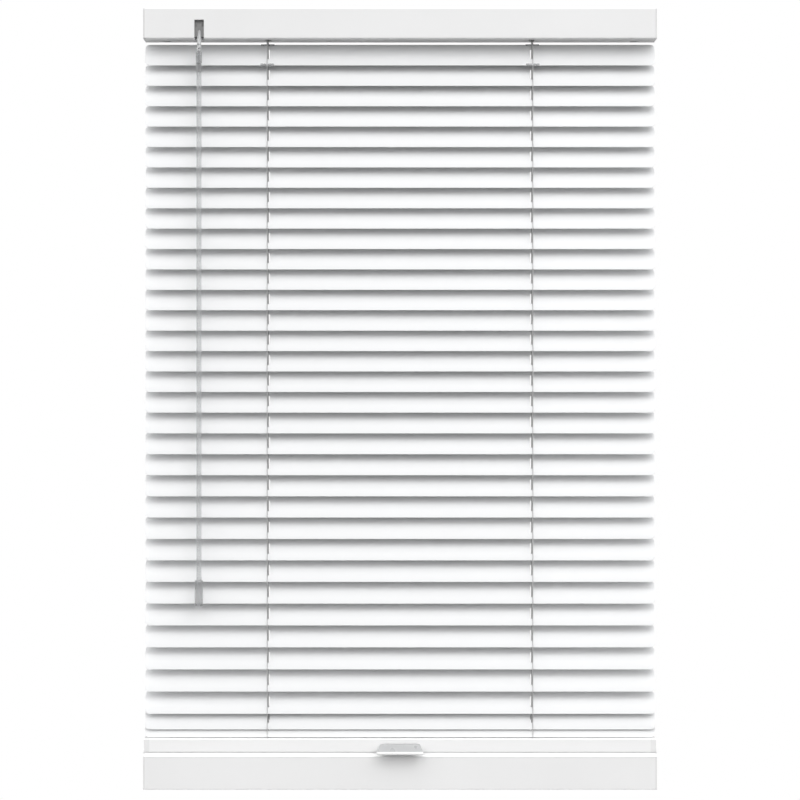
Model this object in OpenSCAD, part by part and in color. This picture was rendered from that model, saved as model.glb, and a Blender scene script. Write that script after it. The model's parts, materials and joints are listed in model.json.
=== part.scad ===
// Venetian blind on tension cords: 25 mm slats between a head cassette and a
// sill cassette, tilted by a wand and raised by hand from a bottom rail.
// Millimetres. X runs along the slats, -Y faces the room, +Z is up.
// The origin is the centre of the head cassette's top face.

/* [Cassettes] */
// Overall width of both cassettes, end caps included
blind_w = 514; // [500:1:520]
// Depth of both cassettes, front to back
case_d = 32; // [31:0.5:34]
// Height of the head cassette
head_h = 31; // [30.5:0.5:33]
// Height of the sill cassette
sill_h = 36.9; // [36.9:0.1:40]
// Radius of the coves along the sill cassette's top edges
cove_r = 3.9; // [3:0.1:4]
// Overall height, head top to sill underside
blind_h = 782.4; // [782.4:0.1:790]
// Wall of the cassettes
case_wall = 1.5; // [1.2:0.1:2]
// Length, along X, of the slot below each ladder in the head cassette
ladder_slot_l = 6; // [5:0.5:10]
// Width of that slot, front to back
ladder_slot_w = 16; // [15.5:0.5:20]

/* [Slats] */
// Number of slats
slat_count = 34; // [34:1:34]
// Length of a slat
slat_l = 512.5; // [505:0.5:513]
// Width of a slat
slat_w = 25; // [25:0.1:25.2]
// Thickness of a slat
slat_t = 0.4; // [0.3:0.05:0.4]
// Height of a slat's crown
slat_crown = 1.5; // [1.2:0.1:1.6]
// Corner radius of a slat
slat_corner = 4.5; // [3:0.5:6]
// Tilt of the slats as stored, room-side edge down
slat_tilt = 62; // [61:0.5:62]
// Height of the first slat's centre, below the head top
slat_first = 45.5; // [45.2:0.1:45.5]
// Pitch of the ladder
slat_pitch = 20.485; // [20.4:0.005:20.485]
// Growth of the pitch for each slat below the middle of the drop
slat_spread = 0.118; // [0.1:0.002:0.118]

/* [Ladders and cords] */
// Distance of each ladder from the middle
ladder_x = 132.4; // [120:0.1:140]
// Distance of a ladder string from the slats' centre plane
string_y = 6.8; // [6.8:0.05:7]
// Diameter of a ladder string
string_dia = 0.9; // [0.7:0.1:0.9]
// Diameter of a ladder rung
rung_dia = 0.6; // [0.4:0.1:0.6]
// Diameter of a tension cord
cord_dia = 1; // [0.8:0.1:1]
// Length of the slot in a slat that a tension cord runs through
route_l = 12; // [10:0.5:13]
// Width of that slot
route_w = 3; // [3:0.1:3.5]

/* [Tilter] */
// Place of the tilter along the head
tilter_x = -201; // [-205:0.5:-190]
// Depth of the tilt rod's axis below the head top
rod_drop = 12; // [11.8:0.1:12]
// Tilt rod, across flats
rod_flats = 5; // [4:0.1:5]
// Teeth on the tilter gear
gear_teeth = 12; // [12:1:12]
// Pitch radius of the tilter gear
gear_r = 5.5; // [5.5:0.1:5.5]
// Pitch radius of the worm
worm_r = 3; // [3:0.1:3]
// Lean of the worm and its stem towards the room
worm_lean = 17; // [16:0.5:17]
// Width of the notch in the head's front
notch_w = 9.5; // [9:0.5:12]
// Depth of the notch in the head's underside
notch_d = 9; // [8:0.5:11]

/* [Wand] */
// Height of the wand's top, below the head top
wand_top = 55.7; // [55:0.1:60]
// Overall length of the wand
wand_l = 542.6; // [400:0.1:600]
// Wand shaft, across corners
wand_dia = 5; // [4:0.1:5.4]
// Grip diameter
grip_dia = 8; // [6.5:0.1:8.2]
// Grip length
grip_l = 26; // [15:1:40]

/* [Bottom rail] */
// Length of the bottom rail, end caps included
rail_l = 513; // [500:0.5:514]
// Depth of the bottom rail
rail_d = 26; // [25:0.5:28]
// Height of the bottom rail
rail_h = 13.1; // [12:0.1:13.1]
// Height of the rail's top face, below the head top
rail_drop = 732.1; // [732:0.1:732.1]
// Length of each rail end cap
rail_cap = 5.5; // [4:0.5:8]
// Width of the lift handle where it leaves the rail
handle_root_w = 38; // [30:1:42]
// Width of the lift handle at its lip
handle_lip_w = 47; // [43:1:60]
// Reach of the lift handle in front of the rail
handle_reach = 15; // [10:0.5:18]

/* [Hidden] */
$fn = 64;
gap = 0.1;

head_l = blind_w - 2 * case_wall;
sill_top = -blind_h + sill_h;
sill_room = sill_h - cove_r - 2 * case_wall;
cove_out = 0.9;
seam_drop = 4.2;
seam = 0.3;
rod_z = -rod_drop;
screw_x = 235;
head_screw_y = 9;
screw_r = 2.25;
access_r = 4;
case_round = 1.2;

// Slats. The pitch is even down to the middle slat, opens a little below it, and
// closes up on the last two slats, which rest on the bottom rail.
even_slats = 16;
free_slats = 32;
bunch_drop = [15.6, 23.4];
slat_r = (pow(slat_w / 2, 2) + pow(slat_crown, 2)) / (2 * slat_crown);
function grown(n) = slat_spread * n * (n + 1) / 2;
function free_z(i) =
    -slat_first - slat_pitch * (i - 1) - grown(max(0, i - even_slats));
function slat_z(i) = i <= free_slats
    ? free_z(i)
    : free_z(free_slats) - bunch_drop[i - free_slats - 1];

// Ladders
string_r = string_dia / 2;
string_shift = -0.95;
rung_reach = slat_w / 2 - 1.5;
rung_w = -slat_t - rung_dia / 2 - 0.05;
string_drop = string_y * tan(slat_tilt);
first_gather = 29;
clip_w = 13.5;
clip_t = 0.45;

// Tilter
mesh_d = gear_r + worm_r;
worm_at = [tilter_x, -mesh_d * cos(worm_lean), rod_z + mesh_d * sin(worm_lean)];
worm_pitch = 2 * PI * gear_r / gear_teeth;
worm_l = 8;
worm_tip = worm_r + 0.5;
worm_root = worm_r - 0.8;
stem_r = 2.1;
eye_z = -41.8;
eye_drop = (worm_at.z - eye_z) / cos(worm_lean);
eye_y = worm_at.y - eye_drop * sin(worm_lean);
eye_half = 0.9;
eye_r = 1.45;
gear_w = 3;
hub_r = 3.5;
house_w = 20;
notch_h = 19;
pocket_h = 5.9;
pocket_d = 1.2;
ledge_w = 4.8;
ledge_h = 2.9;
drum_r = string_y - string_r - 0.1;
drum_flange = 7.8;
drum_w = 5;
journal_r = 4.5;
cradle_l = 22;

// Wand
hook_w = 1.7;
hook_t = 0.8;
loop_r = 2.4;
loop_low = 51.4;
pin_r = 1.2;
sleeve_w = 5.8;
sleeve_d = 7.2;
sleeve_round = 2.8;
sleeve_wall = 0.5;
sleeve_room = [sleeve_w - 2 * sleeve_wall, sleeve_d - 2 * sleeve_wall];
sleeve_top = 45.3;
collar_r = 2.65;
collar_l = 9;

// Bottom rail
rail_wall = 1.2;
rail_round = 0.5;
rail_top = -rail_drop;
handle_root_z = rail_top - 4.7;
handle_lip_z = rail_top - 11;
handle_t = 1.6;

function slat_name(i) = str("slat_", i < 10 ? "0" : "", i);
function section_name(i) = str("ladder_section_", i);

// A rectangle with round corners, centred
module round_rect(w, h, r) {
    square([w - 2 * r, h], center = true);
    square([w, h - 2 * r], center = true);
    for (x = [-1, 1], y = [-1, 1])
        translate([x * (w / 2 - r), y * (h / 2 - r)]) circle(r);
}

// A bar along X whose section is drawn in YZ
module along_x(l) {
    rotate([90, 0, 90]) linear_extrude(l, center = true) children();
}

// A round bar along X
module x_bar(r, l) {
    rotate([0, 90, 0]) cylinder(r = r, h = l, center = true);
}

// A hexagonal bar along X, measured across its flats
module x_hex(flats, l) {
    rotate([0, 90, 0]) cylinder(r = flats / 2 / cos(30), h = l, center = true, $fn = 6);
}

// A round bar between two heights
module post(r, low, high) {
    translate([0, 0, low]) cylinder(r = r, h = high - low);
}

// A mirrored pair, one at each ladder, drawn as the left one
module at_ladders() {
    for (side = [0, 1]) mirror([side, 0, 0]) translate([-ladder_x, 0, 0]) children();
}

// The outline of a cassette's end, centred
module case_outline(h) {
    round_rect(case_d, h, case_round);
}

// The outline of the sill cassette's end, standing on its underside
module sill_outline() {
    translate([0, sill_h / 2]) difference() {
        case_outline(sill_h);
        for (side = [-1, 1]) {
            translate([side * (case_d / 2 + cove_out), sill_h / 2]) circle(cove_r);
            translate([side * case_d / 2, sill_h / 2 - seam_drop]) square([1, seam], center = true);
        }
    }
}

// The outline of its cavity, narrower between the coves
module sill_cavity() {
    wide = case_d - 2 * case_wall;
    narrow = case_d + 2 * cove_out - 2 * cove_r - 2 * case_wall;
    translate([-wide / 2, case_wall]) square([wide, sill_room]);
    translate([-narrow / 2, case_wall]) square([narrow, sill_h - 2 * case_wall]);
}

module head_rail() {
    inner_h = head_h - 2 * case_wall;
    color("gainsboro") difference() {
        translate([0, 0, -head_h / 2]) along_x(head_l) case_outline(head_h);
        translate([0, 0, -case_wall - inner_h / 2])
            cube([head_l + 1, case_d - 2 * case_wall, inner_h], center = true);
        at_ladders() translate([0, 0, -head_h])
            linear_extrude(4 * case_wall, center = true) round_rect(ladder_slot_l, ladder_slot_w, 2);
        translate([tilter_x - notch_w / 2, -case_d / 2 - 1, -head_h - 1])
            cube([notch_w, notch_d + 1, notch_h + 1]);
        for (x = [-screw_x, screw_x]) translate([x, head_screw_y, 0]) {
            post(screw_r, -4, 1);
            post(access_r, -head_h - 1, -head_h + 4);
        }
    }
}

// An end cap at a cassette's right end. Its plate's outline is given, and its plug
// fills a cavity of that height.
module cassette_cap(low, room) {
    plug_h = room - 2 * gap;
    plug_d = case_d - 2 * case_wall - 2 * gap;
    translate([head_l / 2 + case_wall / 2, 0, low]) along_x(case_wall) children();
    translate([head_l / 2 - 2, 0, low + case_wall + room / 2]) difference() {
        cube([4, plug_d, plug_h], center = true);
        cube([5, plug_d - 3, plug_h - 3], center = true);
    }
}

module cassette_end_caps() {
    color("whitesmoke") for (side = [0, 1]) mirror([side, 0, 0]) {
        cassette_cap(-head_h, head_h - 2 * case_wall) translate([0, head_h / 2]) case_outline(head_h);
        cassette_cap(-blind_h, sill_room) sill_outline();
    }
}

// The worm's own frame: its axis is Z, its middle is the origin
module worm_frame() {
    translate(worm_at) rotate([-worm_lean, 0, 0]) children();
}

// A box across the tilter housing's front face, whose top is that far below the head top
module on_housing(w, d, drop, h) {
    front = case_d / 2 - case_wall - 0.2;
    translate([tilter_x, -front, -drop - h / 2]) cube([w, 2 * d, h], center = true);
}

// The housing has a shallow pocket behind the notch, with a ledge at its foot
module tilter_housing() {
    front = case_d / 2 - case_wall - 0.2;
    pocket_drop = head_h - notch_h + 1;
    color("dimgray") difference() {
        translate([tilter_x - house_w / 2, -front, -29]) cube([house_w, front + 11, 27.2]);
        difference() {
            translate([tilter_x - house_w / 2 + 2, -front + 1, -27])
                cube([house_w - 4, front + 8, 23.6]);
            on_housing(house_w, pocket_d + 0.8, pocket_drop - 0.2, pocket_h + 0.4);
        }
        difference() {
            on_housing(notch_w + 1, pocket_d, pocket_drop, pocket_h);
            on_housing(ledge_w, pocket_d + 1, pocket_drop + pocket_h - ledge_h, ledge_h + 1);
        }
        translate([tilter_x, 0, rod_z]) x_bar(hub_r + gap / 2, house_w + 2);
        worm_frame() post(stem_r + 0.2, -40, 0);
        worm_frame() post(1.6, 0, 5.5);
    }
}

module ladder_cradle() {
    half_d = case_d / 2 - case_wall - 0.2;
    for (x = [-cradle_l / 2, cradle_l / 2 - 3]) difference() {
        translate([x, -half_d, -29.3]) cube([3, 2 * half_d, 26]);
        translate([x + 1.5, 0, rod_z]) x_bar(journal_r + 0.05, 5);
        translate([x - 1, -journal_r - 0.05, rod_z]) cube([5, 2 * journal_r + 0.1, 12]);
    }
    difference() {
        translate([-cradle_l / 2, -half_d, -29.3]) cube([cradle_l, 2 * half_d, 3]);
        post(cord_dia / 2 + 0.2, -30, -25);
        for (y = [-string_y, string_y]) translate([string_shift, y, 0]) post(1, -30, -25);
    }
}

module ladder_cradles() {
    color("white") at_ladders() ladder_cradle();
}

module tension_cords() {
    color("lightgray") at_ladders() {
        post(cord_dia / 2, -blind_h + 16, -26);
        post(1.7, -26.2, -23.6);
        post(1.7, -blind_h + 14, -blind_h + 16.4);
    }
}

module cord_tensioner() {
    low = -blind_h + case_wall + 0.2;
    difference() {
        translate([-12, -12, low]) cube([24, 24, sill_room - 0.4]);
        post(2.2, low - 1, -blind_h + 16.6);
        post(cord_dia / 2 + 0.3, -blind_h + 15, sill_top + 1);
    }
}

module cord_tensioners() {
    color("white") at_ladders() cord_tensioner();
}

module bottom_cassette() {
    color("whitesmoke") difference() {
        translate([0, 0, -blind_h]) along_x(head_l) sill_outline();
        translate([0, 0, -blind_h]) along_x(head_l + 1) sill_cavity();
        at_ladders() post(1.6, sill_top - 4, sill_top + 1);
        for (x = [-screw_x, screw_x]) translate([x, 0, 0]) {
            post(access_r, sill_top - 4, sill_top + 1);
            post(screw_r, -blind_h - 1, -blind_h + 4);
        }
    }
}

module tilt_rod() {
    left = tilter_x - 14;
    right = ladder_x + 15;
    color("silver") translate([(left + right) / 2, 0, rod_z]) x_hex(rod_flats, right - left);
}

// One gear tooth, standing along +Y
module gear_tooth() {
    polygon([[-0.62, gear_r - 1.2], [-0.45, gear_r], [-0.3, gear_r + 0.5],
             [0.3, gear_r + 0.5], [0.45, gear_r], [0.62, gear_r - 1.2]]);
}

module tilter_gear() {
    color("white") translate([tilter_x, 0, rod_z]) difference() {
        union() {
            along_x(gear_w) {
                circle(gear_r - 0.8);
                for (n = [0:gear_teeth - 1])
                    rotate(90 - worm_lean + 360 / gear_teeth * n) gear_tooth();
            }
            x_bar(hub_r, house_w + 1);
        }
        x_hex(rod_flats + gap, house_w + 3);
    }
}

module ladder_drum() {
    difference() {
        union() {
            x_bar(drum_r, drum_w);
            for (side = [-1, 1]) translate([side * (drum_w / 2 + 0.5), 0, 0]) x_bar(drum_flange, 1);
            x_bar(journal_r, cradle_l - 1);
        }
        x_hex(rod_flats + gap, cradle_l + 1);
    }
}

module ladder_drums() {
    color("white") at_ladders() translate([0, 0, rod_z]) ladder_drum();
}

// Section of the worm across its axis: the core and one tooth of the thread
module worm_section() {
    half_root = 180 * 1.1 / worm_pitch;
    half_tip = 180 * 0.6 / worm_pitch;
    circle(worm_root, $fn = 18);
    polygon([[0, 0],
             [worm_root * cos(half_root), -worm_root * sin(half_root)],
             [worm_tip * cos(half_tip), -worm_tip * sin(half_tip)],
             [worm_tip, 0],
             [worm_tip * cos(half_tip), worm_tip * sin(half_tip)],
             [worm_root * cos(half_root), worm_root * sin(half_root)]]);
}

module tilter_worm() {
    turns = worm_l / worm_pitch;
    color("white", 0.6) worm_frame() {
        rotate([0, 0, -90]) translate([0, 0, -worm_l / 2]) rotate([0, 0, 180 * turns])
            linear_extrude(worm_l, twist = 360 * turns, slices = 48) worm_section();
        post(1.5, worm_l / 2, worm_l / 2 + 1.2);
        difference() {
            post(stem_r, -eye_drop - 2.4, -worm_l / 2);
            for (side = [-1, 1]) translate([0, side * (eye_half + 2), -eye_drop])
                cube([6, 4, 10], center = true);
            translate([0, 0, -eye_drop]) rotate([90, 0, 0]) cylinder(r = eye_r, h = 8, center = true);
        }
    }
}

// A half ring of the hook's strap, open downwards
module hook_bend() {
    rotate([90, 0, 90]) rotate_extrude(angle = 180)
        translate([loop_r, 0]) square([hook_t, hook_w], center = true);
}

// The hook, and the clear sleeve that keeps it closed
module wand_hook() {
    top = eye_z - loop_r + 0.25;
    color("white", 0.5) translate([tilter_x, eye_y, 0]) {
        translate([0, 0, -wand_top + gap]) linear_extrude(wand_top - gap - sleeve_top) difference() {
            round_rect(sleeve_w, sleeve_d, sleeve_round);
            round_rect(sleeve_room.x, sleeve_room.y, sleeve_round - sleeve_wall);
        }
        translate([0, 0, top]) hook_bend();
        for (y = [-loop_r, loop_r]) translate([-hook_w / 2, y - hook_t / 2, -loop_low])
            cube([hook_w, hook_t, top + loop_low]);
        translate([0, 0, -loop_low]) mirror([0, 0, 1]) hook_bend();
        post(pin_r, -wand_top - 6, -loop_low - loop_r);
    }
}

module wand_collar() {
    color("gray") translate([tilter_x, eye_y, 0]) difference() {
        post(collar_r, -wand_top - collar_l, -wand_top);
        post(pin_r + gap, -wand_top - 6.3, -wand_top + 1);
    }
}

module wand_rod() {
    color("lightgray", 0.6) translate([tilter_x, eye_y, 0])
        translate([0, 0, -wand_top - wand_l + grip_l])
            cylinder(d = wand_dia, h = wand_l - collar_l - grip_l, $fn = 6);
}

module wand_grip() {
    low = -wand_top - wand_l;
    color("darkgray", 0.7) translate([tilter_x, eye_y, 0]) {
        post(grip_dia / 2, low + 2, low + grip_l - 1);
        post(grip_dia / 2 - 0.4, low, low + 2);
        translate([0, 0, low + grip_l - 1]) cylinder(r1 = grip_dia / 2, r2 = wand_dia / 2 + 0.4, h = 1);
    }
}

module bottom_rail() {
    l = rail_l - 2 * rail_cap;
    color("whitesmoke") difference() {
        translate([0, 0, rail_top - rail_h / 2]) along_x(l) round_rect(rail_d, rail_h, rail_round);
        translate([0, 0, rail_top - rail_h / 2])
            cube([l + 1, rail_d - 2 * rail_wall, rail_h - 2 * rail_wall], center = true);
        at_ladders() {
            post(1.6, rail_top - rail_h - 1, rail_top + 1);
            for (y = [-string_y, string_y])
                translate([string_shift, y, 0]) post(0.9, rail_top - 4, rail_top + 1);
        }
        translate([0, -rail_d / 2, handle_root_z - handle_t / 2])
            cube([handle_root_w - 4 + 2 * gap, 4 * rail_wall, handle_t + 2 * gap], center = true);
    }
}

module rail_end_caps() {
    color("white") for (side = [-1, 1]) translate([0, 0, rail_top - rail_h / 2]) {
        translate([side * (rail_l - rail_cap) / 2, 0, 0])
            along_x(rail_cap) round_rect(rail_d, rail_h, rail_round);
        translate([side * (rail_l / 2 - rail_cap - 2), 0, 0])
            cube([4, rail_d - 2 * rail_wall - 2 * gap, rail_h - 2 * rail_wall - 2 * gap], center = true);
    }
}

module lift_handle() {
    face = -rail_d / 2;
    color("lightgray", 0.6) {
        hull() {
            translate([-handle_root_w / 2, face - 0.6, handle_root_z - handle_t])
                cube([handle_root_w, 0.6, handle_t]);
            translate([-handle_lip_w / 2, face - handle_reach, handle_lip_z - handle_t])
                cube([handle_lip_w, 1.6, handle_t]);
        }
        translate([-handle_lip_w / 2, face - handle_reach, handle_lip_z - 3.8])
            cube([handle_lip_w, 1.6, 3.8]);
        translate([-handle_root_w / 2 + 2, face - 0.6, handle_root_z - handle_t])
            cube([handle_root_w - 4, 3.4, handle_t]);
    }
}

// Ladder strings on one side of the slats, between two heights
module strings(side, low, high) {
    color("white") at_ladders() translate([string_shift, side * string_y, 0]) post(string_r, low, high);
}

module ladder_front() {
    strings(-1, slat_z(first_gather) - string_drop, rod_z);
}

module ladder_rear() {
    strings(1, slat_z(first_gather) + string_drop, rod_z);
}

// The part of both ladders below gathered slat i, down to the next slat or the rail
module ladder_section(i) {
    last = i == slat_count - 1;
    in_rail = rail_top - 3;
    strings(-1, last ? in_rail : slat_z(i + 1) - string_drop, slat_z(i) - string_drop);
    strings(1, last ? in_rail : slat_z(i + 1) + string_drop, slat_z(i) + string_drop);
}

// A slat's own frame: X along it, Y to its far edge, Z out of its crown
module slat_frame(i) {
    translate([0, 0, slat_z(i)]) rotate([slat_tilt, 0, 0]) children();
}

// A curved sheet under the crown, between two depths below its outer face
module crown_sheet(outer, inner, l, reach) {
    translate([0, 0, slat_crown - slat_r]) intersection() {
        difference() {
            x_bar(slat_r - outer, l);
            x_bar(slat_r - inner, l + 1);
        }
        translate([0, 0, slat_r]) cube([l + 2, 2 * reach, 12], center = true);
    }
}

module slat(i) {
    color("aliceblue") slat_frame(i) difference() {
        intersection() {
            crown_sheet(0, slat_t, slat_l, slat_w / 2);
            linear_extrude(12, center = true) round_rect(slat_l, slat_w, slat_corner);
        }
        at_ladders() linear_extrude(12, center = true) round_rect(route_w, route_l, route_w / 2 - 0.01);
    }
    color("white") slat_frame(i) at_ladders() translate([string_shift, 0, rung_w])
        rotate([90, 0, 0]) cylinder(d = rung_dia, h = 2 * rung_reach, center = true, $fn = 24);
}

// A clear clip that holds the first slat to the ladder by both of its edges
module ladder_clip() {
    wrap = slat_w / 2 + 0.5;
    difference() {
        union() {
            crown_sheet(slat_t + gap, slat_t + gap + clip_t, clip_w, wrap);
            intersection() {
                crown_sheet(-gap - clip_t, slat_t + gap + clip_t, clip_w, wrap);
                for (side = [-1, 1]) translate([0, side * (slat_w / 2 - 0.5), 0])
                    cube([clip_w + 1, 2, 12], center = true);
            }
        }
        crown_sheet(-gap, slat_t + gap, clip_w + 1, slat_w / 2 + gap);
        cube([2, 2 * wrap + 2, 12], center = true);
        translate([-string_shift, 0, 0]) cube([route_w + 1, route_l + 1, 12], center = true);
    }
}

module ladder_clips() {
    color("white", 0.5) slat_frame(1) at_ladders() translate([string_shift, 0, 0]) ladder_clip();
}

head_rail();
cassette_end_caps();
tilter_housing();
ladder_cradles();
tension_cords();
cord_tensioners();
bottom_cassette();
tilt_rod();
tilter_gear();
ladder_drums();
tilter_worm();
wand_hook();
wand_collar();
wand_rod();
wand_grip();
bottom_rail();
rail_end_caps();
lift_handle();
ladder_front();
ladder_rear();
ladder_clips();
for (i = [1:slat_count]) slat(i);
for (i = [first_gather:slat_count - 1])
    ladder_section(i);
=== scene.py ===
import json
import math
import random

import bpy
from mathutils import Matrix, Vector


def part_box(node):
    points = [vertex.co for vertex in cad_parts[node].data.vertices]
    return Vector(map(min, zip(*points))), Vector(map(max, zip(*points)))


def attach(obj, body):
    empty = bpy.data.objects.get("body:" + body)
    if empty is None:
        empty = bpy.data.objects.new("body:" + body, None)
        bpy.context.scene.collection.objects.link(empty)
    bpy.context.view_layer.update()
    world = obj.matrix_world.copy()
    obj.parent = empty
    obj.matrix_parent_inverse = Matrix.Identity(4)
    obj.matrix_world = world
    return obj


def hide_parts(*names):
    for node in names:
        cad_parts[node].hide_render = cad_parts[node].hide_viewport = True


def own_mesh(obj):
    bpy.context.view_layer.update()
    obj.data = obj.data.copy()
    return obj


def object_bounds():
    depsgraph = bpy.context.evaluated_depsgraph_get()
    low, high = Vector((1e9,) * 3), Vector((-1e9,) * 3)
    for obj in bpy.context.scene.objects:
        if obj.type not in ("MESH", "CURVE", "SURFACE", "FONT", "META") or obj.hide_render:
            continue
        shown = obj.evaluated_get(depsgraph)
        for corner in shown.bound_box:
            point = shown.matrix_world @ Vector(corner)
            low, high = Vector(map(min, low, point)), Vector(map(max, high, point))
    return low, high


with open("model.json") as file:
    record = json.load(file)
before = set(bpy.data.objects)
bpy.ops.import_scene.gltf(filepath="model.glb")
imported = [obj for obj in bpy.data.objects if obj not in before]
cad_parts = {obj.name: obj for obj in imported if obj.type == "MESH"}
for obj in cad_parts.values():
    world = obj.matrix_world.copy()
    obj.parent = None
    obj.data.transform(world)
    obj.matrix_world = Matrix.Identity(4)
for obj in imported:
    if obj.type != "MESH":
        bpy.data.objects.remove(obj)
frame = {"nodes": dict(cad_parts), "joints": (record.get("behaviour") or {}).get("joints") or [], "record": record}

MM = 0.001
cad_low, cad_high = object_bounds()
joints = {j["name"]: j for j in frame["joints"]}
rng = random.Random(25)

SLATS = 34
STILL_SLATS = 28
SLAT_L, SLAT_W, SLAT_T = 512.5 * MM, 25 * MM, 0.34 * MM
SLAT_CROWN, SLAT_CORNER = 1.5 * MM, 4.5 * MM
TILT = math.radians(62)
LADDER_X = 132.4 * MM
STRING_X = LADDER_X + 0.95 * MM
STRING_Y = 6.8 * MM
STRING_R, TAIL_R, RUNG_R = 0.45 * MM, 0.42 * MM, 0.3 * MM
STRING_LAY, RUNG_LAY = 4.5 * MM, 2.4 * MM
STRING_DROP = STRING_Y * math.tan(TILT)
RUNG_REACH, LAST_RUNG_REACH, RUNG_DEPTH = 14.3 * MM, 12.4 * MM, 0.75 * MM
SLOT_R, SLOT_L = 1.5 * MM, 12 * MM

PLATE_T = 1.6 * MM
BEAD_D, BEAD_H = 1.3 * MM, 1.45 * MM

FLOOR_LIGHT, CEILING_LIGHT, KEY_POWER = 0.06, 2.12, 7.6
ROOM_FADE, BEHIND_FADE = (-0.35, 0.85), (0.1, 0.5)
# the card's dark band by the head is painted shade for the crevices of the slats under the head
CARD_LIGHT, CARD_HEAD_SHADE, CARD_FADE = 0.76, 0.03, (-0.08, -0.05)

CAMERA_PLACE = (0, -2.661, -0.3725)
CAMERA_LENS, CAMERA_SHIFT = 119, -0.025


def slat_name(i):
    return f"slat_{i:02d}"


def slat_centre(i):
    return Vector(joints[slat_name(i) + "_tilt"]["pos_m"])


# ---------------------------------------------------------------- materials


class Shader:
    """A Principled material with procedural inputs, all in object coordinates."""

    def __init__(self, name, roughness, **sockets):
        self.mat = bpy.data.materials.new(name)
        self.mat.use_nodes = True
        self.tree = self.mat.node_tree
        self.bsdf = next(n for n in self.tree.nodes if n.type == "BSDF_PRINCIPLED")
        self.bsdf.inputs["Roughness"].default_value = roughness
        for socket, value in sockets.items():
            self.bsdf.inputs[socket.replace("_", " ")].default_value = value
        self.coords = self.tree.nodes.new("ShaderNodeTexCoord")

    def link(self, a, b):
        self.tree.links.new(a, b)

    def noise(self, scale, detail=2.0, stretch=(1, 1, 1)):
        mapping = self.tree.nodes.new("ShaderNodeMapping")
        mapping.inputs["Scale"].default_value = stretch
        tex = self.tree.nodes.new("ShaderNodeTexNoise")
        tex.inputs["Scale"].default_value = scale
        tex.inputs["Detail"].default_value = detail
        self.link(self.coords.outputs["Object"], mapping.inputs["Vector"])
        self.link(mapping.outputs["Vector"], tex.inputs["Vector"])
        return tex.outputs[0]

    def wave(self, scale, turn, distortion=0.0):
        mapping = self.tree.nodes.new("ShaderNodeMapping")
        mapping.inputs["Rotation"].default_value = turn
        tex = self.tree.nodes.new("ShaderNodeTexWave")
        tex.inputs["Scale"].default_value = scale
        tex.inputs["Distortion"].default_value = distortion
        self.link(self.coords.outputs["Object"], mapping.inputs["Vector"])
        self.link(mapping.outputs["Vector"], tex.inputs["Vector"])
        return tex.outputs["Fac"]

    def colour(self, factor, dark, light):
        ramp = self.tree.nodes.new("ShaderNodeValToRGB")
        ramp.color_ramp.elements[0].color = (*dark, 1)
        ramp.color_ramp.elements[1].color = (*light, 1)
        ramp.color_ramp.elements[0].position = 0.3
        ramp.color_ramp.elements[1].position = 0.7
        self.link(factor, ramp.inputs["Fac"])
        self.link(ramp.outputs["Color"], self.bsdf.inputs["Base Color"])

    def vary(self, factor, socket, low, high):
        spread = self.tree.nodes.new("ShaderNodeMapRange")
        spread.inputs["From Min"].default_value = 0.3
        spread.inputs["From Max"].default_value = 0.7
        spread.inputs["To Min"].default_value = low
        spread.inputs["To Max"].default_value = high
        self.link(factor, spread.inputs["Value"])
        self.link(spread.outputs[0], self.bsdf.inputs[socket])

    def bump(self, heights, depth, strength=1.0):
        below = None
        for height in heights:
            bump = self.tree.nodes.new("ShaderNodeBump")
            bump.inputs["Strength"].default_value = strength
            bump.inputs["Distance"].default_value = depth
            self.link(height, bump.inputs["Height"])
            if below is not None:
                self.link(below, bump.inputs["Normal"])
            below = bump.outputs["Normal"]
        self.link(below, self.bsdf.inputs["Normal"])


def tone(value, cool=0.0):
    return (value * (1 - cool), value, value * (1 + cool))


def powder_coat(name, value, roughness, cool):
    """Sprayed and baked paint: even, satin, with a fine orange peel."""
    s = Shader(name, roughness)
    s.colour(s.noise(9, 3), tone(value * 0.985, cool), tone(value * 1.01, cool))
    s.vary(s.noise(140, 3), "Roughness", roughness - 0.05, roughness + 0.05)
    s.bump([s.noise(1400, 2), s.noise(420, 1)], 0.000012)
    return s.mat


def moulded(name, value, roughness, cool=0.0):
    """Opaque moulded plastic with a fine spark-eroded grain."""
    s = Shader(name, roughness, Specular_IOR_Level=0.4)
    s.colour(s.noise(60, 3), tone(value * 0.97, cool), tone(value * 1.02, cool))
    s.vary(s.noise(300, 2), "Roughness", roughness - 0.06, roughness + 0.06)
    s.bump([s.noise(2600, 3)], 0.00003)
    return s.mat


def clear(name, value, roughness, transmission, cool=0.01):
    """Clear moulded plastic, a little cloudy, with faint flow lines."""
    s = Shader(name, roughness, Transmission_Weight=transmission, IOR=1.49)
    s.colour(s.noise(40, 2, (1, 1, 0.2)), tone(value * 0.97, cool), tone(value, cool))
    s.vary(s.noise(90, 3, (1, 1, 0.15)), "Roughness", roughness * 0.8, roughness * 1.2)
    s.bump([s.noise(500, 2, (1, 1, 0.1))], 0.00002)
    return s.mat


def drawn_steel(name):
    """Bright drawn bar, with die lines along X."""
    s = Shader(name, 0.32, Metallic=1.0)
    s.colour(s.noise(220, 3, (0.03, 1, 1)), tone(0.52, 0.01), tone(0.62, 0.01))
    s.vary(s.noise(900, 3, (0.02, 1, 1)), "Roughness", 0.26, 0.42)
    s.bump([s.noise(2400, 2, (0.01, 1, 1))], 0.00001)
    return s.mat


def yarn(name, value, wave_scale):
    """Polyester cord: two crossing lays of filaments and a little fuzz."""
    s = Shader(name, 0.8, Sheen_Weight=0.25, Specular_IOR_Level=0.25)
    lay = s.wave(wave_scale, (0, 0.7, 0.4), 0.4)
    cross = s.wave(wave_scale, (0, -0.7, -0.4), 0.4)
    s.colour(lay, tone(value * 0.86), tone(value))
    s.bump([lay, cross, s.noise(3500, 2)], 0.00008)
    return s.mat


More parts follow.
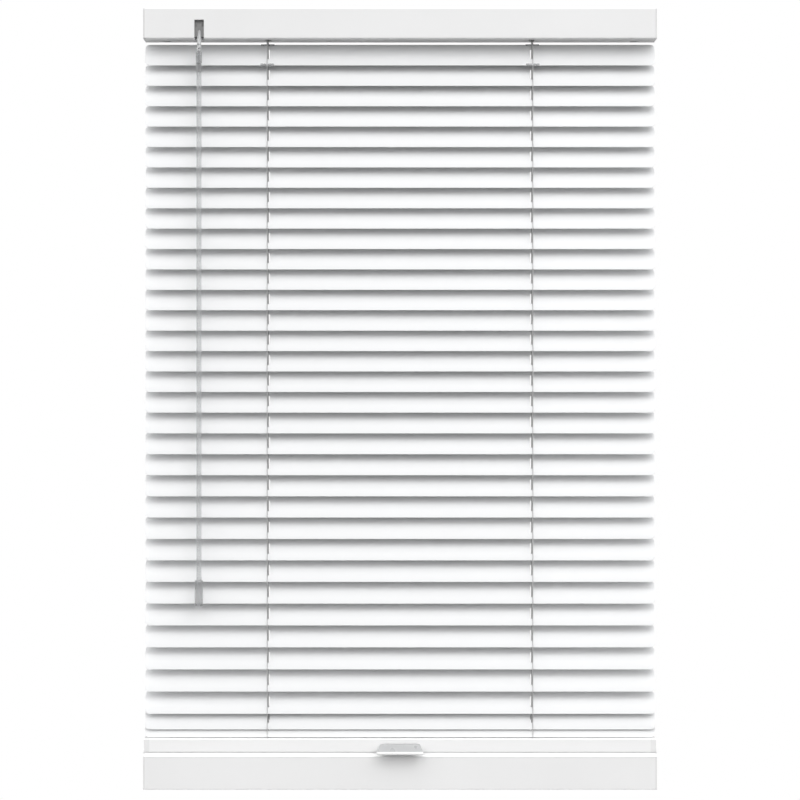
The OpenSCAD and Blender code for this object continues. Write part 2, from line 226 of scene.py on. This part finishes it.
MATERIALS = {
    "head_paint": powder_coat("head_paint", 0.93, 0.42, 0.0),
    "sill_paint": powder_coat("sill_paint", 0.89, 0.42, 0.0),
    "rail_paint": powder_coat("rail_paint", 0.95, 0.42, 0.0),
    "slat_paint": powder_coat("slat_paint", 0.84, 0.36, 0.008),
    "milky_plastic": clear("milky_plastic", 0.52, 0.3, 0.12),
    "stem_plastic": clear("stem_plastic", 0.78, 0.25, 0.5),
    # bright opaque white for the handle's lip bead: a painted highlight for the clear lip's glint
    "lip_highlight_plastic": moulded("lip_highlight_plastic", 0.90, 0.3),
    "cap_plastic": moulded("cap_plastic", 0.80, 0.42),
    "white_plastic": moulded("white_plastic", 0.88, 0.45),
    "grey_plastic": moulded("grey_plastic", 0.26, 0.5),
    "clear_plastic": clear("clear_plastic", 0.80, 0.22, 0.85),
    "smoke_plastic": clear("smoke_plastic", 0.62, 0.3, 0.7),
    "steel": drawn_steel("steel"),
    "cord": yarn("cord", 0.62, 900),
    "ladder_yarn": yarn("ladder_yarn", 0.80, 1300),
}

# CAD nodes whose look isn't the one of their slot's name
OWN_LOOKS = {
    "tilter_worm": "stem_plastic",
    "cassette_end_caps": "cap_plastic",
    "bottom_rail": "rail_paint",
}


def dress(obj, slot, material=None):
    obj.data.materials.clear()
    obj.data.materials.append(MATERIALS[material or slot])
    for face in obj.data.polygons:
        face.material_index = 0


def dress_cad_nodes():
    for part in frame["record"]["subparts"]:
        dress(frame["nodes"][part["node"]], part["material_slot"], OWN_LOOKS.get(part["node"]))


# ---------------------------------------------------------------- building


def mesh_object(name, points, faces, smooth=True):
    mesh = bpy.data.meshes.new(name)
    mesh.from_pydata([tuple(p) for p in points], [], faces)
    mesh.validate()
    for face in mesh.polygons:
        face.use_smooth = smooth and len(face.vertices) < 8
    obj = bpy.data.objects.new(name, mesh)
    bpy.context.scene.collection.objects.link(obj)
    return obj


def span(low, high, count):
    return [low + (high - low) * k / count for k in range(count + 1)]


def twisted(points, faces, start, end, radius, pitch, lobes=3, sides=12, rings_per_turn=6):
    """Adds a laid cord from start to end to the lists of points and faces."""
    axis = end - start
    turn = Vector((0, 0, 1)).rotation_difference(axis)
    rings = max(2, round(axis.length / pitch * rings_per_turn))
    first = len(points)
    for k in range(rings + 1):
        along = axis.length * k / rings
        for n in range(sides):
            a = math.tau * n / sides
            r = radius * (0.9 + 0.1 * math.cos(lobes * a))
            a += math.tau * along / pitch
            points.append(start + turn @ Vector((r * math.cos(a), r * math.sin(a), along)))
    for k in range(rings):
        for n in range(sides):
            a, b = first + k * sides + n, first + k * sides + (n + 1) % sides
            faces.append((a, b, b + sides, a + sides))
    faces.append(tuple(range(first + sides - 1, first - 1, -1)))
    faces.append(tuple(range(first + rings * sides, first + (rings + 1) * sides)))


# ---------------------------------------------------------------- slats


def edge_at(x):
    """Half the slat's width at x, with its round corners."""
    inside = max(0.0, abs(x) - (SLAT_L / 2 - SLAT_CORNER))
    drop = SLAT_CORNER - math.sqrt(max(0.0, SLAT_CORNER**2 - inside**2))
    return SLAT_W / 2 - drop


def crown_at(y, depth=0.0):
    """Height of the crown's face at y, that far below the outer face."""
    radius = ((SLAT_W / 2) ** 2 + SLAT_CROWN**2) / (2 * SLAT_CROWN)
    return SLAT_CROWN - radius + math.sqrt((radius - depth) ** 2 - y * y)


def slat_columns():
    """X of the grid's columns from the left end to the right, and where each slot's block starts."""
    corner = [SLAT_L / 2 - SLAT_CORNER * (1 - math.sin(a)) for a in span(math.pi / 2, 0, 8)]
    left = [-x for x in corner]
    near, far = LADDER_X + 3 * MM, SLAT_L / 2 - SLAT_CORNER
    left += span(-far, -near, 20)[1:]
    block = len(left) - 1
    left += span(-near, -near + 6 * MM, 6)[1:]
    middle = span(-near + 6 * MM, near - 6 * MM, 40)[1:-1]
    right = [-x for x in reversed(left)]
    return left + middle + right, block


def slat_sheet(depth):
    """One face of the slat with its two slots: points, faces, and the loops round slots and edge."""
    columns, block = slat_columns()
    rows = 25
    points, at = [], {}
    for i, x in enumerate(columns):
        for j in range(rows + 1):
            y = edge_at(x) * (2 * j / rows - 1)
            at[i, j] = len(points)
            points.append(Vector((x, y, crown_at(y, depth))))
    low, high = 4, rows - 4
    blocks = [block, len(columns) - 1 - block - 6]
    quads = []
    for i in range(len(columns) - 1):
        for j in range(rows):
            if not (low <= j < high and any(b <= i < b + 6 for b in blocks)):
                quads.append((at[i, j], at[i + 1, j], at[i + 1, j + 1], at[i, j + 1]))
    loops = []
    for b in blocks:
        centre = (columns[b] + columns[b + 6]) / 2
        around = [(i, low) for i in range(b, b + 6)] + [(b + 6, j) for j in range(low, high)]
        around += [(i, high) for i in range(b + 6, b, -1)] + [(b, j) for j in range(high, low, -1)]
        outer = [at[p] for p in around]
        for share in (0.5, 1.0):
            inner = []
            for p in around:
                corner = points[at[p]]
                reach = SLOT_L / 2 - SLOT_R
                spine = Vector((centre, max(-reach, min(reach, corner.y)), 0))
                away = Vector((corner.x, corner.y, 0)) - spine
                rim = spine + away.normalized() * SLOT_R
                spot = Vector((corner.x, corner.y, 0)).lerp(rim, share)
                inner.append(len(points))
                points.append(Vector((spot.x, spot.y, crown_at(spot.y, depth))))
            for k in range(len(around)):
                n = (k + 1) % len(around)
                quads.append((outer[k], outer[n], inner[n], inner[k]))
            outer = inner
        loops.append(list(reversed(outer)))
    last = len(columns) - 1
    edge = [at[i, 0] for i in range(last)] + [at[last, j] for j in range(rows)]
    edge += [at[i, rows] for i in range(last, 0, -1)] + [at[0, j] for j in range(rows, 0, -1)]
    loops.append(edge)
    return points, quads, loops


def slat_mesh():
    """A slat in its own frame: X along it, Y to its far edge, Z out of its crown."""
    points, quads, loops = slat_sheet(0.0)
    under, _, _ = slat_sheet(SLAT_T)
    count = len(points)
    faces = list(quads) + [tuple(count + v for v in reversed(q)) for q in quads]
    for loop in loops:
        for a, b in zip(loop, loop[1:] + loop[:1]):
            faces.append((b, a, count + a, count + b))
    obj = mesh_object("slat", points + under, faces)
    mark_sharp_rims(obj.data, loops, count)
    mesh = obj.data
    bpy.data.objects.remove(obj)
    return mesh


def mark_sharp_rims(mesh, loops, count):
    """Keeps the slat's faces and its thin edge from being shaded as one."""
    rims = set()
    for loop in loops:
        for a, b in zip(loop, loop[1:] + loop[:1]):
            rims.add(frozenset((a, b)))
            rims.add(frozenset((count + a, count + b)))
    for e in mesh.edges:
        e.use_edge_sharp = frozenset(e.vertices) in rims


def rung_mesh(front_reach):
    """Both ladder rungs under a slat, in the slat's frame."""
    points, faces = [], []
    for side in (-1, 1):
        front = Vector((side * STRING_X, -front_reach, -RUNG_DEPTH))
        rear = Vector((side * STRING_X, RUNG_REACH, -RUNG_DEPTH))
        twisted(points, faces, front, rear, RUNG_R, RUNG_LAY, sides=9)
    obj = mesh_object("rungs", points, faces)
    mesh = obj.data
    bpy.data.objects.remove(obj)
    return mesh


def build_slats():
    """Every slat and its rungs, each slat leaning a little differently."""
    mesh, rungs, last_rungs = slat_mesh(), rung_mesh(RUNG_REACH), rung_mesh(LAST_RUNG_REACH)
    mesh.materials.append(MATERIALS["slat_paint"])
    for r in (rungs, last_rungs):
        r.materials.append(MATERIALS["ladder_yarn"])
    for i in range(1, SLATS + 1):
        lean = TILT + math.radians(rng.uniform(-0.35, 0.35))
        place = Matrix.Translation(slat_centre(i)) @ Matrix.Rotation(lean, 4, "X")
        below = last_rungs if i == SLATS else rungs
        for name, data, slot in (("slat", mesh, "slat_paint"), ("rungs", below, "cord")):
            obj = bpy.data.objects.new(f"{name}_piece_{i:02d}", data)
            bpy.context.scene.collection.objects.link(obj)
            obj.matrix_world = place
            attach(obj, slat_name(i) + "_body")
            if name == "slat":
                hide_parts(slat_name(i))


# ---------------------------------------------------------------- ladder strings


def string_pair(name, side, low, high, radius):
    """The same stretch of both ladders' strings, in front (side -1) or behind (side 1)."""
    points, faces = [], []
    for x in (-STRING_X, STRING_X):
        foot, top = Vector((x, side * STRING_Y, low)), Vector((x, side * STRING_Y, high))
        twisted(points, faces, foot, top, radius, STRING_LAY, sides=9)
    obj = mesh_object(name, points, faces)
    dress(obj, "cord", "ladder_yarn")
    return obj


def build_strings():
    """The strings' upper stretch, the one that folds as the rail rises, and their hidden ends."""
    head_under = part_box("head_rail")[0].z
    rail_low, rail_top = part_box("bottom_rail")[0].z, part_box("bottom_rail")[1].z
    rod_z = joints["tilt_rod_turn"]["pos_m"][2]
    tail_top = slat_centre(SLATS).z + 0.5 * MM
    for side, word, node in ((-1, "front", "ladder_front"), (1, "rear", "ladder_rear")):
        body = word + "_strings"
        seam = slat_centre(STILL_SLATS).z + side * STRING_DROP
        upper = string_pair(f"strings_{word}_upper", side, seam, head_under - 2 * MM, STRING_R)
        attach(upper, body)
        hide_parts(node)
        low = rail_low + 1.4 * MM if side < 0 else tail_top
        lower = string_pair(f"strings_{word}_lower", side, low, seam, STRING_R)
        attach(lower, body)
        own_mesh(lower)
        if side < 0:
            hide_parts(*[f"ladder_section_{i}" for i in range(STILL_SLATS + 1, SLATS)])
        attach(string_pair(f"strings_{word}_head", side, head_under - 3 * MM, rod_z, TAIL_R), "frame")
        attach(string_pair(f"strings_{word}_rail", side, rail_top - 3 * MM, tail_top, TAIL_R), "rail")


# ---------------------------------------------------------------- lift handle


def handle_top(share, bend, lip_y, lip_top):
    """A point of the plate's top that far from its bend to its lip."""
    ease = 0.8 * share + 0.2 * share * share
    return bend[0] + (lip_y - bend[0]) * share, bend[1] + (lip_top - bend[1]) * ease


def handle_profile(face, root_z, lip_y, lip_top):
    """The plate's section, as (y, z) going round it: top from the rail out, and back underneath.

    The top starts inside the rail, rises to a rounded step, and dips in a groove before the bend.
    """
    steps = 8
    inside_rail = [(1.0, 1.1), (-0.3, 1.1)]
    step = [(-0.45, 0.2), (-0.8, 0.0), (-2.3, 0.3)]
    groove = [(-2.5, 1.3), (-3.1, 1.4), (-3.3, 0.8), (-3.7, 0.75)]
    top = [(face + y * MM, root_z - z * MM) for y, z in inside_rail + step + groove]
    bend = top[-1]
    low_bend = (bend[0], bend[1] - PLATE_T)
    top += [handle_top(k / steps, bend, lip_y, lip_top) for k in range(1, steps + 1)]
    under = [handle_top(k / steps, low_bend, lip_y, lip_top - PLATE_T) for k in range(steps, -1, -1)]
    root_under = root_z - 1.4 * PLATE_T
    return top + under + [(face, root_under), (face + 1.0 * MM, root_under)]


def lofted(name, columns, profile, place):
    """A closed solid with the same profile at each column, where place gives a point's position."""
    points = [place(u, y, z) for u in columns for y, z in profile]
    faces, count = [], len(profile)
    for c in range(len(columns) - 1):
        for k in range(count):
            n = (k + 1) % count
            faces.append((c * count + k, c * count + n, (c + 1) * count + n, (c + 1) * count + k))
    faces.append(tuple(range(count - 1, -1, -1)))
    faces.append(tuple((len(columns) - 1) * count + k for k in range(count)))
    return mesh_object(name, points, faces)


def build_handle():
    """The milky plate, wider at its lip than at its root, and a bright white bead along the lip, a painted
    highlight standing for the glint on the clear lip.
    """
    low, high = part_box("lift_handle")
    rail_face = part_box("bottom_rail")[0].y
    reach = rail_face - low.y
    half_root, half_lip = 19 * MM, (high.x - low.x) / 2
    lip_y = low.y + 1.3 * MM
    lip_top = low.z + 3.4 * MM

    def place(u, y, z):
        share = max(0.0, min(1.0, (rail_face - y) / reach))
        return u * (half_root + (half_lip - half_root) * share ** 0.9), y, z

    columns = [-1, -0.985, -0.95, -0.88] + span(-0.8, 0.8, 16) + [0.88, 0.95, 0.985, 1]
    plate = lofted("handle_piece", columns, handle_profile(rail_face, high.z, lip_y, lip_top), place)
    bevel = plate.modifiers.new("edges", "BEVEL")
    bevel.width = 0.2 * MM
    bevel.segments = 2
    bevel.limit_method = "ANGLE"
    bevel.angle_limit = math.radians(50)
    dress(plate, "clear_plastic", "milky_plastic")
    bead_y, bead_z = lip_y, low.z + 2.3 * MM
    ring = [math.tau * k / 20 for k in range(20)]
    section = [(bead_y + BEAD_D * math.cos(a), bead_z + BEAD_H * math.sin(a)) for a in ring]

    def round_end(u, y, z):
        shrink = math.sqrt(max(0.04, 1 - max(0.0, (abs(u) - 0.95) / 0.05) ** 2))
        return u * half_lip, bead_y + (y - bead_y) * shrink, bead_z + (z - bead_z) * shrink

    ends = [-1, -0.995, -0.985, -0.97]
    columns = ends + span(-0.95, 0.95, 10) + [-u for u in reversed(ends)]
    lip = lofted("handle_lip", columns, section, round_end)
    # the bead is painted bright white as a painted highlight, where the clear lip would only glint
    dress(lip, "clear_plastic", "lip_highlight_plastic")
    for piece in (plate, lip):
        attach(piece, "rail")
        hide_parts("lift_handle")


# ---------------------------------------------------------------- stage


def area_light(name, place, target, size, power):
    data = bpy.data.lights.new(name, "AREA")
    data.shape = "RECTANGLE"
    data.size, data.size_y = size
    data.energy = power
    obj = bpy.data.objects.new(name, data)
    bpy.context.scene.collection.objects.link(obj)
    obj.location = place
    obj.rotation_euler = (Vector(target) - Vector(place)).to_track_quat("-Z", "Y").to_euler()
    return obj


def smooth_range(tree, value, ends, results):
    """Runs smoothly from the first result to the second as value goes from end to end."""
    node = tree.nodes.new("ShaderNodeMapRange")
    node.interpolation_type = "SMOOTHSTEP"
    node.inputs["From Min"].default_value, node.inputs["From Max"].default_value = ends
    node.inputs["To Min"].default_value, node.inputs["To Max"].default_value = results
    tree.links.new(value, node.inputs["Value"])
    return node.outputs[0]


def build_world():
    """White to look at from every side.

    Its light is white from behind the blind, and in front bright overhead and dim low down.
    """
    world = bpy.data.worlds.new("studio")
    bpy.context.scene.world = world
    world.use_nodes = True
    tree = world.node_tree
    back = next(n for n in tree.nodes if n.type == "BACKGROUND")
    back.inputs["Color"].default_value = (1, 1, 1, 1)
    coords = tree.nodes.new("ShaderNodeTexCoord")
    split = tree.nodes.new("ShaderNodeSeparateXYZ")
    tree.links.new(coords.outputs["Generated"], split.inputs["Vector"])
    room = smooth_range(tree, split.outputs["Z"], ROOM_FADE, (FLOOR_LIGHT, CEILING_LIGHT))
    behind = smooth_range(tree, split.outputs["Y"], BEHIND_FADE, (0, 1))
    rest = tree.nodes.new("ShaderNodeMath")
    rest.operation = "SUBTRACT"
    rest.inputs[0].default_value = 1
    tree.links.new(room, rest.inputs[1])
    total = tree.nodes.new("ShaderNodeMath")
    total.operation = "MULTIPLY_ADD"
    tree.links.new(behind, total.inputs[0])
    tree.links.new(rest.outputs[0], total.inputs[1])
    tree.links.new(room, total.inputs[2])
    path = tree.nodes.new("ShaderNodeLightPath")
    seen = tree.nodes.new("ShaderNodeMix")
    tree.links.new(path.outputs["Is Camera Ray"], seen.inputs["Factor"])
    tree.links.new(total.outputs[0], seen.inputs["A"])
    seen.inputs["B"].default_value = 1
    tree.links.new(seen.outputs["Result"], back.inputs["Strength"])


def build_stage():
    """World, key light and a round floor well below the blind, which hangs."""
    build_world()
    middle = (0, 0, (cad_low.z + cad_high.z) / 2)
    area_light("key", (0.9, -1.6, 1.3), middle, (1.2, 0.9), KEY_POWER)
    sides, radius, drop = 96, 1.0, 1.7
    turns = [math.tau * k / sides for k in range(sides)]
    ring = [(radius * math.cos(a), radius * math.sin(a), -drop) for a in turns]
    floor = mesh_object("floor", ring, [tuple(range(sides))], smooth=False)
    s = Shader("floor", 0.7)
    s.colour(s.noise(6, 3), tone(0.83), tone(0.86))
    s.bump([s.noise(180, 3)], 0.0001)
    floor.data.materials.append(s.mat)


def build_flag():
    """A grey card that keeps light from coming through between the slats, painted darker by the head as painted
    shade for the slats just under it.
    """
    x, y, low, high = 0.75, 0.12, -1.05, 0.75
    flag = mesh_object("flag", [(-x, y, low), (x, y, low), (x, y, high), (-x, y, high)], [(0, 1, 2, 3)])
    s = Shader("flag", 0.9)
    split = s.tree.nodes.new("ShaderNodeSeparateXYZ")
    s.link(s.coords.outputs["Object"], split.inputs["Vector"])
    # painted shade: the card turns dark near the head so the slats under the head fall darker
    head_shade_band = smooth_range(s.tree, split.outputs["Z"], CARD_FADE, (0, 1))
    s.colour(head_shade_band, tone(CARD_LIGHT), tone(CARD_HEAD_SHADE))
    flag.data.materials.append(s.mat)
    flag.visible_camera = False
    flag.visible_transmission = False


def build_camera():
    data = bpy.data.cameras.new("camera")
    data.lens = CAMERA_LENS
    data.sensor_width = 36
    data.shift_y = CAMERA_SHIFT
    data.clip_start, data.clip_end = 0.05, 30
    camera = bpy.data.objects.new("camera", data)
    bpy.context.scene.collection.objects.link(camera)
    camera.location = CAMERA_PLACE
    camera.rotation_euler = (math.pi / 2, 0, 0)
    bpy.context.scene.camera = camera


dress_cad_nodes()
build_slats()
build_strings()
build_handle()
build_stage()
build_flag()
build_camera()
bpy.context.scene.view_settings.view_transform = "Standard"
